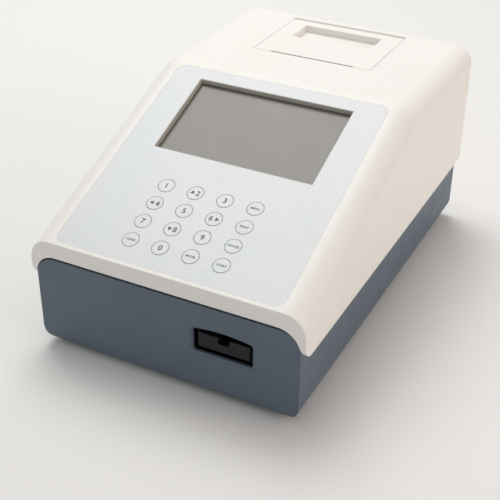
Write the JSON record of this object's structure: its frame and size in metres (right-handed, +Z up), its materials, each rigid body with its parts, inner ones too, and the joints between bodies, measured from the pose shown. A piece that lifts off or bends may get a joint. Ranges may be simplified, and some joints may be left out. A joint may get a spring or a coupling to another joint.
{
  "type": "urine analyzer",
  "caption": "Benchtop strip reader: sloped membrane keypad, recessed display, hinged lid over a paper printer, and a strip tray that slides out of the front wall.",
  "frame": {"origin": "middle of the case's footprint, on the table under the feet", "axes": "+Z up, -Y to the front wall with the tray slot, +X to the user's right"},
  "size_m": [0.191, 0.291, 0.142],
  "materials": {
    "cover_plastic": "fine satin moulded housing",
    "tub_plastic": "fine textured slate moulding",
    "overlay_film": "fine velvet polyester film",
    "circuit_film": "laminated circuit film",
    "display_glass": "grey reflective display glass",
    "light_guide": "milky light guide",
    "steel": "plated steel",
    "dome_steel": "sprung stainless",
    "circuit_board": "green solder mask",
    "black_moulding": "black component moulding",
    "tray_plastic": "charcoal moulding",
    "gear_plastic": "natural acetal",
    "reference_white": "matt calibration white",
    "lens_glass": "clear lens",
    "lamp_resin": "clear lamp resin",
    "foot_rubber": "soft black rubber",
    "platen_rubber": "ground platen rubber",
    "paper": "thermal paper, wound",
    "card": "card tube",
    "ribbon": "flat flexible cable",
    "head_ceramic": "glazed ceramic",
    "gasket_foam": "closed-cell foam strip",
    "switch_black": "polished black"
  },
  "bodies": {
    "case": {"base_tub": "tub_plastic", "board_chips": "black_moulding", "buzzer": "black_moulding", "cable_plugs": "gear_plastic", "case_screws": "steel", "dc_jack": "black_moulding", "display_backlight": "light_guide", "display_board": "circuit_board", "display_cable": "ribbon", "display_frame": "steel", "display_gasket": "gasket_foam", "display_glass": "display_glass", "feed_motor": "steel", "feet": "foot_rubber", "hinge_pins": "steel", "keypad_tail": "ribbon", "main_board": "circuit_board", "membrane_overlay": "overlay_film", "optics_board": "circuit_board", "optics_housing": "black_moulding", "optics_leds": "lamp_resin", "optics_lens": "lens_glass", "power_switch": "switch_black", "printer_frame": "steel", "printer_well": "tray_plastic", "serial_port": "steel", "small_screws": "steel", "snap_domes": "dome_steel", "switch_layer": "circuit_film", "thermal_head": "head_ceramic", "top_cover": "cover_plastic", "tray_guide": "black_moulding", "tray_motor": "steel"},
    "tray": {"strip_tray": "tray_plastic", "tray_rack": "gear_plastic", "reference_pad": "reference_white"},
    "pinion": {"tray_pinion": "gear_plastic"},
    "lid": {"printer_lid": "cover_plastic"},
    "paper": {"paper_roll": "paper", "roll_core": "card"},
    "platen": {"platen_roller": "platen_rubber", "platen_gear": "gear_plastic"},
    "feed_drive": {"feed_gear": "gear_plastic"},
    "rocker": {"power_rocker": "switch_black"},
    "key_1": {"key_1": "overlay_film"},
    "key_2": {"key_2": "overlay_film"},
    "key_3": {"key_3": "overlay_film"},
    "key_menu": {"key_menu": "overlay_film"},
    "key_4": {"key_4": "overlay_film"},
    "key_5": {"key_5": "overlay_film"},
    "key_6": {"key_6": "overlay_film"},
    "key_print": {"key_print": "overlay_film"},
    "key_7": {"key_7": "overlay_film"},
    "key_8": {"key_8": "overlay_film"},
    "key_9": {"key_9": "overlay_film"},
    "key_cancel": {"key_cancel": "overlay_film"},
    "key_clear": {"key_clear": "overlay_film"},
    "key_0": {"key_0": "overlay_film"},
    "key_enter": {"key_enter": "overlay_film"},
    "key_start": {"key_start": "overlay_film"}
  },
  "joints": [
    {"name": "tray_slide", "type": "slide", "parent": "case", "child": "tray", "axis": [0, -1, 0], "range_m": [0, 0.092]},
    {"name": "pinion_spin", "type": "hinge", "parent": "case", "child": "pinion", "pos_m": [0.01428, -0.0962, 0.0342], "axis": [0, 0, -1], "range_deg": [0, 590]},
    {"name": "lid_hinge", "type": "hinge", "parent": "case", "child": "lid", "pos_m": [0, 0.1323, 0.138], "axis": [-1, 0, 0], "range_deg": [0, 93]},
    {"name": "paper_spin", "type": "hinge", "parent": "case", "child": "paper", "pos_m": [0, 0.1112, 0.10885], "axis": [1, 0, 0], "continuous": true},
    {"name": "platen_spin", "type": "hinge", "parent": "case", "child": "platen", "pos_m": [0, 0.0727, 0.132], "axis": [1, 0, 0], "continuous": true},
    {"name": "feed_spin", "type": "hinge", "parent": "case", "child": "feed_drive", "pos_m": [0.037, 0.08426, 0.132], "axis": [1, 0, 0], "continuous": true},
    {"name": "rocker_tilt", "type": "hinge", "parent": "case", "child": "rocker", "pos_m": [-0.062, 0.142, 0.03], "axis": [-1, 0, 0], "range_deg": [0, 16]},
    {"name": "key_1_press", "type": "slide", "parent": "case", "child": "key_1", "axis": [0, 0.3499, -0.9368], "range_m": [0, 0.0003], "stiffness_N_per_m": 2000},
    {"name": "key_2_press", "type": "slide", "parent": "case", "child": "key_2", "axis": [0, 0.3499, -0.9368], "range_m": [0, 0.0003], "stiffness_N_per_m": 2000},
    {"name": "key_3_press", "type": "slide", "parent": "case", "child": "key_3", "axis": [0, 0.3499, -0.9368], "range_m": [0, 0.0003], "stiffness_N_per_m": 2000},
    {"name": "key_menu_press", "type": "slide", "parent": "case", "child": "key_menu", "axis": [0, 0.3499, -0.9368], "range_m": [0, 0.0003], "stiffness_N_per_m": 2000},
    {"name": "key_4_press", "type": "slide", "parent": "case", "child": "key_4", "axis": [0, 0.3499, -0.9368], "range_m": [0, 0.0003], "stiffness_N_per_m": 2000},
    {"name": "key_5_press", "type": "slide", "parent": "case", "child": "key_5", "axis": [0, 0.3499, -0.9368], "range_m": [0, 0.0003], "stiffness_N_per_m": 2000},
    {"name": "key_6_press", "type": "slide", "parent": "case", "child": "key_6", "axis": [0, 0.3499, -0.9368], "range_m": [0, 0.0003], "stiffness_N_per_m": 2000},
    {"name": "key_print_press", "type": "slide", "parent": "case", "child": "key_print", "axis": [0, 0.3499, -0.9368], "range_m": [0, 0.0003], "stiffness_N_per_m": 2000},
    {"name": "key_7_press", "type": "slide", "parent": "case", "child": "key_7", "axis": [0, 0.3499, -0.9368], "range_m": [0, 0.0003], "stiffness_N_per_m": 2000},
    {"name": "key_8_press", "type": "slide", "parent": "case", "child": "key_8", "axis": [0, 0.3499, -0.9368], "range_m": [0, 0.0003], "stiffness_N_per_m": 2000},
    {"name": "key_9_press", "type": "slide", "parent": "case", "child": "key_9", "axis": [0, 0.3499, -0.9368], "range_m": [0, 0.0003], "stiffness_N_per_m": 2000},
    {"name": "key_cancel_press", "type": "slide", "parent": "case", "child": "key_cancel", "axis": [0, 0.3499, -0.9368], "range_m": [0, 0.0003], "stiffness_N_per_m": 2000},
    {"name": "key_clear_press", "type": "slide", "parent": "case", "child": "key_clear", "axis": [0, 0.3499, -0.9368], "range_m": [0, 0.0003], "stiffness_N_per_m": 2000},
    {"name": "key_0_press", "type": "slide", "parent": "case", "child": "key_0", "axis": [0, 0.3499, -0.9368], "range_m": [0, 0.0003], "stiffness_N_per_m": 2000},
    {"name": "key_enter_press", "type": "slide", "parent": "case", "child": "key_enter", "axis": [0, 0.3499, -0.9368], "range_m": [0, 0.0003], "stiffness_N_per_m": 2000},
    {"name": "key_start_press", "type": "slide", "parent": "case", "child": "key_start", "axis": [0, 0.3499, -0.9368], "range_m": [0, 0.0003], "stiffness_N_per_m": 2000}
  ],
  "couplings": [
    {"joint": "pinion_spin", "follows": "tray_slide", "rad_per_m": 111.11},
    {"joint": "platen_spin", "follows": "paper_spin", "ratio": 4.7917},
    {"joint": "feed_spin", "follows": "paper_spin", "ratio": -4.3924}
  ]
}
